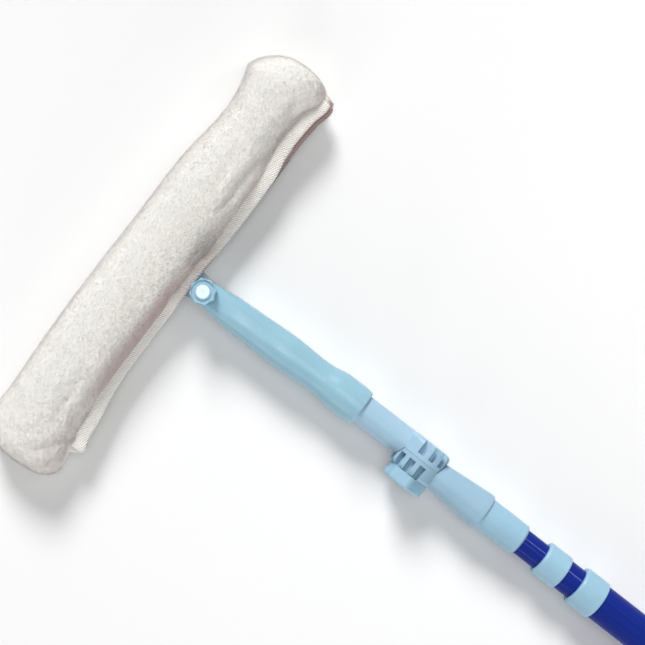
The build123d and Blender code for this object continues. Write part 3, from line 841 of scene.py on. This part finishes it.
# Small pinches along the seam
pinch_height = 0.12
pinch_length = 1.9
pinch_slant = 0.4
# Stretches in which the painted shadow of the handle starts and ends, where the handle crosses the tape
tape_shade_starts = (-30, -5)
tape_shade_ends = (18, 34)
# Length of tape that one unit of its texture stands for
texture_unit = 10


def tape_profile():
    """Across the tape, from its sewn edge to where it turns round the hem: setback and drop."""
    flat = [(tape_width - k, 0.0) for k in np.linspace(0, tape_width - turn_start, tape_flat_points)]
    angles = np.linspace(turn_first, math.pi / 2, turn_points)
    turn = [(turn_start - turn_radius * math.sin(a), -turn_radius * (1 - math.cos(a))) for a in angles]
    return np.array(flat + turn + [tape_end])


def tape_arch(setback):
    """Height of the tape's arch across its width."""
    return tape_crown * np.sin(math.pi * np.clip(setback / tape_width, 0, 1)) ** tape_arch_power


def tape_sheets(side):
    """Outer and inner sheet of a tape, row by row along it."""
    setbacks, drops = tape_profile().T
    outer, inner = [], []
    for y in tape_along:
        pinch = pinch_height * np.sin(y / pinch_length + setbacks * pinch_slant)
        rise = flap_thickness + tape_rise + drops + pinch + tape_arch(setbacks)
        top = flap_level(y, side) + side * rise
        for sheet, offsets in ((outer, top), (inner, top - side * tape_thickness)):
            xs, zs = flap_places(y, setbacks, offsets, side)
            sheet += list(zip(xs, np.full(len(xs), y), zs))
    return outer + inner


def lay_texture(piece, reach):
    """Place along and across the tape of each corner, for its twill."""
    layer = piece.data.uv_layers.new(name="tape")
    for loop in piece.data.loops:
        r, i = divmod(loop.vertex_index % (len(tape_along) * len(reach)), len(reach))
        layer.data[loop.index].uv = (tape_along[r] / texture_unit, reach[i])


def make_tape(name, side):
    """Twill tape along one flap's outer face, turned round its edge."""
    reach = tape_profile()[:, 0] / tape_width
    faces = slab_faces(len(tape_along), len(reach))
    if side < 0:
        faces = [face[::-1] for face in faces]
    piece = shown(name, placed(tape_sheets(side)), faces)
    # Painted shadow of the handle where it crosses the tape
    shade = eased(tape_along, *tape_shade_starts) * (1 - eased(tape_along, *tape_shade_ends))
    mark(piece, "shade", np.tile(np.repeat(shade, len(reach)), 2))
    lay_texture(piece, reach)
    return piece


# Stitches, in millimetres

stitch_along = np.arange(-143, 159, 3.0)
stitch_length = 2.1
stitch_half = 0.17
stitch_sides = 6
# Setbacks of the two rows
stitch_rows = (1.6, tape_width - 1.2)
# Share of its length and rise over the tape, along a stitch
stitch_arc = ((-0.5, -0.25), (-0.3, 0.08), (0, 0.12), (0.3, 0.08), (0.5, -0.25))


def stitch(y, row, side):
    """Rings of points along one stitch."""
    points = []
    for share, rise in stitch_arc:
        place = y + share * stitch_length
        height = flap_thickness + tape_rise + tape_arch(row) + rise
        x, z = flap_places(place, row, flap_level(place, side) + side * height, side)
        for a in np.linspace(0, 2 * math.pi, stitch_sides, endpoint=False):
            points.append((float(x) + stitch_half * math.cos(a), place,
                           float(z) + stitch_half * math.sin(a)))
    return points


def make_stitches(name, side):
    """Two rows of short thread stitches through a tape."""
    points, faces = [], []
    one = tube_faces(len(stitch_arc), stitch_sides)
    for y in stitch_along:
        for row in stitch_rows:
            first = len(points)
            points += stitch(y, row, side)
            faces += [tuple(first + i for i in f) for f in one]
    return shown(name, placed(points), faces)


# Closure strips, one each side of the stem, in millimetres

strip_along = np.linspace(34, 120, 140)
strip_setbacks = np.linspace(2.2, 8.8, 16)
# Distances of both faces from the middle between the flaps
strip_back = 1.05
strip_face = 0.08
# Hooks and loops
strip_rough = 0.14
strip_grain = 1.7
strip_start = 5.0


def strip_section(y, side):
    """Points round a strip: across its rough face and back across its flat one."""
    bump = np.array([noise.noise(Vector((s * strip_grain, y * strip_grain, side * strip_start)))
                     for s in strip_setbacks])
    rough = side * (strip_face + strip_rough * bump)
    flat = np.full(len(strip_setbacks), side * strip_back)
    points = []
    for setbacks, offsets in ((strip_setbacks, rough), (strip_setbacks[::-1], flat)):
        xs, zs = flap_places(y, setbacks + hem_out(y, side) - hem_edge(y), offsets, side)
        points += [(x, y, z) for x, z in zip(xs, zs)]
    return points


def make_strip(name, side):
    """Closure strips of one flap, rough with hooks or loops, one each side of the stem."""
    pieces = []
    for end in (-1, 1):
        points = [point for y in strip_along * end for point in strip_section(y, side)]
        faces = tube_faces(len(strip_along), 2 * len(strip_setbacks))
        pieces.append(shown("strip", placed(points), faces))
    return joined(name, pieces)


# Materials

def srgb(red, green, blue):
    """Colour of the picture, from 0 to 255, as a linear colour."""
    def linear(value):
        value /= 255
        return value / 12.92 if value <= 0.04045 else ((value + 0.055) / 1.055) ** 2.4
    return (linear(red), linear(green), linear(blue), 1)


def grey(level):
    """Grey as a linear colour."""
    return (level, level, level, 1)


def socket_of(sockets, name, kind):
    """First socket with a name and a type."""
    return next(socket for socket in sockets if socket.name == name and socket.type == kind)


class Surface:
    """Material with a Principled shader and short calls for the nodes that feed it."""

    def __init__(self, name, **constants):
        self.material = bpy.data.materials.new(name)
        self.material.use_nodes = True
        self.tree = self.material.node_tree
        self.shader = self.tree.nodes["Principled BSDF"]
        for key, value in constants.items():
            self.shader.inputs[key.replace("_", " ")].default_value = value
        self.place = self.node("ShaderNodeTexCoord").outputs["Object"]

    def node(self, kind, links=None, settings=None, **values):
        made = self.tree.nodes.new(kind)
        for key, value in (settings or {}).items():
            setattr(made, key, value)
        for key, value in values.items():
            made.inputs[key.replace("_", " ")].default_value = value
        for key, source in (links or {}).items():
            self.tree.links.new(source, made.inputs[key])
        return made

    def feed(self, socket, value):
        """A fixed number or colour for a socket, or a link to it."""
        if isinstance(value, (int, float, tuple)):
            socket.default_value = value
        else:
            self.tree.links.new(value, socket)

    def stretched(self, scale):
        """Object coordinates, scaled by axis."""
        return self.node("ShaderNodeMapping", {"Vector": self.place}, Scale=scale).outputs["Vector"]

    def marked(self, name):
        """Number marked at the mesh's points."""
        return self.node("ShaderNodeAttribute", settings={"attribute_name": name}).outputs["Fac"]

    def noise(self, scale, detail=3.0, vector=None, distortion=0.0):
        made = self.node("ShaderNodeTexNoise", {"Vector": vector or self.place}, Scale=scale,
                         Detail=detail, Distortion=distortion)
        return made.outputs["Fac"]

    def ranged(self, value, low, high, source_low=0.3, source_high=0.7):
        """A number brought from one range to another."""
        made = self.node("ShaderNodeMapRange", {"Value": value}, From_Min=source_low,
                         From_Max=source_high, To_Min=low, To_Max=high)
        return made.outputs["Result"]

    def mixed(self, factor, first, second):
        """Colour between two others."""
        made = self.node("ShaderNodeMix", settings={"data_type": "RGBA"})
        self.feed(socket_of(made.inputs, "Factor", "VALUE"), factor)
        self.feed(socket_of(made.inputs, "A", "RGBA"), first)
        self.feed(socket_of(made.inputs, "B", "RGBA"), second)
        return socket_of(made.outputs, "Result", "RGBA")

    def mixed_shader(self, factor, first, second):
        """Shader between two others."""
        made = self.tree.nodes.new("ShaderNodeMixShader")
        for socket, value in zip(made.inputs, (factor, first, second)):
            self.feed(socket, value)
        return made.outputs[0]

    def math(self, operation, first, second):
        made = self.node("ShaderNodeMath", settings={"operation": operation})
        for socket, value in zip(made.inputs, (first, second)):
            self.feed(socket, value)
        return made.outputs["Value"]

    def colour(self, output):
        self.tree.links.new(output, self.shader.inputs["Base Color"])

    def roughness(self, output):
        self.tree.links.new(output, self.shader.inputs["Roughness"])

    def bump(self, height, strength, distance, over=None):
        links = {"Height": height}
        if over is not None:
            links["Normal"] = over
        made = self.node("ShaderNodeBump", links, Strength=strength, Distance=distance)
        self.tree.links.new(made.outputs["Normal"], self.shader.inputs["Normal"])


moulded_edge = 0.35 * MM


def plastic(name, colour, shade, roughness, coat):
    """Moulded plastic: faint cloudiness, a fine grain and soft moulded edges."""
    s = Surface(name, Coat_Weight=coat, Coat_Roughness=0.18, IOR=1.47)
    cloud = s.noise(scale=55, detail=4)
    fleck = s.noise(scale=900, detail=2)
    tint = s.mixed(s.ranged(cloud, 0, 1), colour, shade)
    s.colour(s.mixed(s.ranged(fleck, 0, 0.03), tint, srgb(235, 240, 245)))
    s.roughness(s.ranged(s.noise(scale=160), roughness - 0.05, roughness + 0.07))
    soft = s.node("ShaderNodeBevel", settings={"samples": 4}, Radius=moulded_edge).outputs["Normal"]
    s.bump(s.noise(scale=1400), strength=0.1, distance=0.03 * MM, over=soft)
    return s.material


def painted_tube(name, colour, shade):
    """Glossy paint on drawn tube, with fine lengthwise streaks and scuffs."""
    s = Surface(name, Coat_Weight=0.24, Coat_Roughness=0.05, IOR=1.5, Specular_IOR_Level=0.02)
    streak = s.noise(scale=1, detail=4, vector=s.stretched((3, 420, 420)))
    scuff = s.noise(scale=1, detail=5, vector=s.stretched((26, 160, 160)), distortion=0.6)
    tint = s.mixed(s.ranged(streak, 0, 1), colour, shade)
    scuffed = s.ranged(scuff, 0, 0.22, source_low=0.62, source_high=0.8)
    s.colour(s.mixed(scuffed, tint, srgb(50, 72, 148)))
    s.roughness(s.ranged(streak, 0.24, 0.34))
    s.bump(streak, strength=0.04, distance=0.05 * MM)
    return s.material


def metal(name, colour, roughness):
    """Turned or pressed metal with fine tool marks."""
    s = Surface(name, Metallic=1.0)
    marks = s.noise(scale=1, detail=4, vector=s.stretched((700, 700, 90)))
    dull = tuple(0.72 * c for c in colour[:3]) + (1,)
    s.colour(s.mixed(s.ranged(marks, 0, 1), colour, dull))
    s.roughness(s.ranged(marks, roughness - 0.06, roughness + 0.12))
    s.bump(marks, strength=0.15, distance=0.05 * MM)
    return s.material


def plush_material(name, ground):
    """White plush with painted shade: warm and darker where its shade is marked.

    The ground is the share of the slightly darker root colour in it, a faint painted shade deep in the
    pile, or None to make strands paler towards their tips.
    """
    s = Surface(name, Sheen_Weight=0.8, Sheen_Roughness=0.5, Sheen_Tint=(1, 0.88, 0.86, 1),
                Specular_IOR_Level=0.1)
    clump = s.noise(scale=420, detail=4)
    if ground is None:
        ground = s.ranged(s.marked("tip"), 0.5, 0.0, source_low=0, source_high=1)
    tint = s.mixed(s.ranged(clump, 0, 0.5), srgb(246, 246, 240), srgb(240, 238, 232))
    # Slightly darker roots: faint painted shade deep in the pile
    tint = s.mixed(ground, tint, srgb(240, 237, 231))
    # Painted shade specks where the pile parts
    tint = s.mixed(s.marked("speck"), tint, srgb(176, 168, 158))
    # Painted warm shade, pinkish brown, in the valley, between the flaps and at the front edge
    s.colour(s.mixed(s.marked("shade"), tint, srgb(168, 128, 128)))
    s.roughness(s.ranged(clump, 0.85, 0.98))
    s.bump(s.noise(scale=1150, detail=4), strength=0.6, distance=0.6 * MM)
    return s.material


def twill_material(name):
    """Cotton tape: diagonal ribs and a fine weave, with painted shade in the rib grooves and a painted
    shadow where the handle crosses it.
    """
    s = Surface(name, Sheen_Weight=0.2, Sheen_Roughness=0.5, Specular_IOR_Level=0.2)
    uv = s.node("ShaderNodeUVMap", settings={"uv_map": "tape"}).outputs["UV"]
    across = s.node("ShaderNodeSeparateXYZ", {"Vector": uv}).outputs
    slant = s.math("ADD", s.math("MULTIPLY", across["X"], 5.6), s.math("MULTIPLY", across["Y"], 7.9))
    wave = s.math("SINE", s.math("MULTIPLY", slant, 2 * math.pi / 1.35), 0.0)
    rib = s.ranged(wave, 0.0, 1.0, source_low=-1.0, source_high=1.0)
    # Ribs darker in their grooves than on their crests: painted shade
    tint = s.mixed(rib, srgb(208, 203, 195), srgb(253, 252, 248))
    tint = s.mixed(s.ranged(s.noise(scale=700), 0, 0.35), tint, srgb(233, 230, 223))
    # Painted shadow of the handle, marked on the tape
    s.colour(s.mixed(s.math("MULTIPLY", s.marked("shade"), 0.6), tint, srgb(150, 132, 130)))
    s.roughness(s.ranged(rib, 0.95, 0.8, source_low=0.0, source_high=1.0))
    height = s.math("ADD", rib, s.math("MULTIPLY", s.noise(scale=2200), 0.3))
    s.bump(height, strength=0.8, distance=0.35 * MM)
    return s.material


def cloth_material(name, colour, shade):
    """Rough fabric of the closure strips and the thread."""
    s = Surface(name, Sheen_Weight=0.2, Sheen_Roughness=0.5, Specular_IOR_Level=0.25)
    s.colour(s.mixed(s.ranged(s.noise(scale=1300), 0, 1), colour, shade))
    s.roughness(s.ranged(s.noise(scale=500), 0.8, 0.95))
    s.bump(s.noise(scale=1800), strength=0.6, distance=0.3 * MM)
    return s.material


# Moulded plastics: colour, colour of the clouds in it, roughness and coat
plastics = {
    "bar_plastic": ((150, 168, 176), (138, 157, 166), 0.5, 0),
    "handle_blue": ((139, 184, 201), (132, 177, 195), 0.4, 0.3),
    "elbow_blue": ((156, 190, 211), (149, 184, 206), 0.42, 0),
    "cone_blue": ((146, 180, 200), (139, 174, 195), 0.42, 0),
    "collar_blue": ((146, 186, 207), (140, 180, 201), 0.45, 0),
    "knob_blue": ((150, 190, 210), (143, 184, 205), 0.36, 0),
    # The cap's near-white colour is partly its own pale plastic, partly a painted glare
    "cap_pale": ((222, 242, 247), (212, 236, 244), 0.22, 0.3),
    "lock_grey": ((120, 124, 128), (104, 108, 112), 0.5, 0),
    "washer_nylon": ((228, 226, 216), (214, 211, 200), 0.45, 0),
    "friction_rubber": ((58, 60, 64), (46, 48, 52), 0.8, 0),
}


def make_materials():
    made = {
        "plush": plush_material("plush_ground", ground=0.35),
        "pile": plush_material("plush_strands", ground=None),
        "twill": twill_material("twill_tape"),
        "thread": cloth_material("sewing_thread", srgb(243, 240, 230), srgb(220, 214, 202)),
        "closure": cloth_material("closure_fabric", srgb(232, 232, 228), srgb(200, 200, 196)),
        "tube_blue": painted_tube("tube_blue", srgb(2, 31, 123), srgb(5, 37, 133)),
        "steel": metal("zinc_steel", srgb(196, 198, 200), 0.3),
        "brass": metal("turned_brass", srgb(205, 170, 98), 0.28),
    }
    for name, (colour, shade, roughness, coat) in plastics.items():
        made[name] = plastic(name, srgb(*colour), srgb(*shade), roughness, coat)
    return made


# CAD nodes of each material
node_materials = {
    "bar_plastic": ("t_bar", "t_bar_end_cap_left", "t_bar_end_cap_right"),
    "washer_nylon": ("lug_washer_upper", "lug_washer_lower"),
    "steel": ("knob_washer", "swivel_bolt", "elbow_bolt"),
    "brass": ("swivel_knob_insert", "wing_knob_nut"),
    "knob_blue": ("swivel_knob", "elbow_wing_knob"),
    "cap_pale": ("knob_cap_disc",),
    "handle_blue": ("head_handle", "end_grip"),
    "elbow_blue": ("elbow_upper_half",),
    "cone_blue": ("elbow_lower_half",),
    "friction_rubber": ("elbow_friction_washer",),
    "collar_blue": ("pole_tip_sleeve", "middle_collar", "outer_collar", "end_cap"),
    "tube_blue": ("inner_tube", "middle_tube", "outer_tube"),
    "lock_grey": ("inner_lock_plug", "inner_lock_expander", "middle_lock_plug", "middle_lock_expander"),
    "plush": ("sleeve_plush",),
    "twill": ("hem_tape_upper", "hem_tape_lower"),
    "closure": ("hook_strips", "loop_strips"),
}


def paint(piece, material):
    piece.data.materials.clear()
    piece.data.materials.append(material)


def paint_frame(materials):
    """Each CAD node takes its own material."""
    for key, nodes in node_materials.items():
        for node in nodes:
            paint(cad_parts[node], materials[key])


# Studio: pale floor, a key light from the picture's top, two lights from its foot, three panels and
# even fill. Directions and places are along the picture's right and up, then up from the floor.

# Suns: strength, angle in degrees and direction
suns = {
    "key": (2.92, 20, (-0.10, 0.83, 0.55)),
    "low": (1.5, 18, (0.0, -1.0, 0.12)),
    "side": (0.4, 30, (-0.61, -0.79, 0.5)),
}
# Panels: power in watts, then width, height, place from the pivot and the place faced, in metres
panels = (
    (5.2, 0.9, 0.7, (0.24, 0.04, 1.5), (0.1, -0.05, 0.0)),
    (1.7, 0.22, 0.18, (1.15, 0.43, 1.0), (0.24, -0.19, 0.0)),
    (0.55, 0.06, 0.06, (-0.03, -0.04, 1.45), (0.04, -0.03, 0.0)),
)
fill_level = 0.17
floor_half = 12.0
floor_drop = 0.3 * MM
floor_pale = 0.94
floor_cloud = 0.92
# Glow in the floor that is seen, and grey of the floor that lights the part
floor_lift = 0.01
floor_bounce = 0.7


def seen_rays(tree):
    """One for rays that show the backdrop: straight to the camera, mirrored or through something clear."""
    rays = tree.nodes.new("ShaderNodeLightPath")
    total = rays.outputs["Is Camera Ray"]
    for name in ("Is Glossy Ray", "Is Transmission Ray"):
        either = tree.nodes.new("ShaderNodeMath")
        either.operation = "MAXIMUM"
        tree.links.new(total, either.inputs[0])
        tree.links.new(rays.outputs[name], either.inputs[1])
        total = either.outputs[0]
    return total


def backdrop_material(name):
    """Floor that shows pale with soft shadows and throws less light back at the part."""
    s = Surface(name, Specular_IOR_Level=0.0, Roughness=1.0)
    s.colour(s.mixed(s.ranged(s.noise(scale=3, detail=2), 0, 1), grey(floor_pale), grey(floor_cloud)))
    glow = s.node("ShaderNodeEmission", Strength=1.0).outputs[0]
    dull = s.node("ShaderNodeBsdfDiffuse", Color=grey(floor_bounce)).outputs[0]
    pale = s.mixed_shader(floor_lift, s.shader.outputs[0], glow)
    both = s.mixed_shader(seen_rays(s.tree), dull, pale)
    s.tree.links.new(both, s.tree.nodes["Material Output"].inputs["Surface"])
    return s.material


def make_floor():
    corners = ((-1, -1), (1, -1), (1, 1), (-1, 1))
    points = [(floor_half * x, floor_half * y, -floor_drop) for x, y in corners]
    floor = shown("floor", points, [(0, 1, 2, 3)])
    paint(floor, backdrop_material("floor_paper"))


def in_picture(right, up, height):
    """Vector along the picture's right and up and away from the floor."""
    return image_right * right + image_up * up + Vector((0, 0, height))


def hang(light, place, toward):
    """Lamp at a place, shining from the side that the second vector points to."""
    lamp = linked(light.name, light)
    lamp.location = place
    lamp.rotation_euler = toward.to_track_quat("Z", "Y").to_euler()


def make_sun(name, strength, angle, direction):
    light = bpy.data.lights.new(name, "SUN")
    light.energy = strength
    light.angle = math.radians(angle)
    hang(light, Vector((0, 0, 1)), in_picture(*direction))


def make_panel(power, width, height, place, target):
    light = bpy.data.lights.new("panel", "AREA")
    light.shape = "RECTANGLE"
    light.size = width
    light.size_y = height
    light.energy = power
    hang(light, pivot + in_picture(*place), in_picture(*place) - in_picture(*target))


def make_fill():
    """Even light from all round, behind a white backdrop."""
    world = bpy.data.worlds.new("studio")
    world.use_nodes = True
    bpy.context.scene.world = world
    tree = world.node_tree
    back = tree.nodes["Background"]
    level = tree.nodes.new("ShaderNodeMapRange")
    level.inputs["To Min"].default_value = fill_level
    level.inputs["To Max"].default_value = 1.0
    tree.links.new(seen_rays(tree), level.inputs["Value"])
    tree.links.new(level.outputs["Result"], back.inputs["Strength"])
    back.inputs["Color"].default_value = grey(1)


def make_studio():
    make_floor()
    for name, values in suns.items():
        make_sun(name, *values)
    for values in panels:
        make_panel(*values)
    make_fill()
    bpy.context.scene.view_settings.view_transform = "Standard"


# Assembly of the scene

def dress_body(materials):
    """Plush skin and its pile."""
    skin = make_plush()
    paint(skin, materials["plush"])
    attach(skin, "head")
    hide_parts("sleeve_plush")
    strands = make_strands(skin, strand_count)
    paint(strands, materials["pile"])
    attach(strands, "head")


def dress_hem(materials, side, word):
    """Tape of one flap with its stitches."""
    tape = make_tape(f"hem_tape_{word}_twill", side)
    paint(tape, materials["twill"])
    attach(tape, "head")
    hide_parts(f"hem_tape_{word}")
    stitches = make_stitches(f"hem_stitches_{word}", side)
    paint(stitches, materials["thread"])
    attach(stitches, "head")


def dress_closure(materials, side, word):
    """Strips of one flap's closure."""
    strip = make_strip(f"{word}_strips_fabric", side)
    paint(strip, materials["closure"])
    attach(strip, "head")
    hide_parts(f"{word}_strips")


def dress_sleeve(materials):
    dress_body(materials)
    for side, word in ((1, "upper"), (-1, "lower")):
        dress_hem(materials, side, word)
    for side, word in ((1, "loop"), (-1, "hook")):
        dress_closure(materials, side, word)


make_camera()
make_studio()
materials = make_materials()
paint_frame(materials)
dress_sleeve(materials)
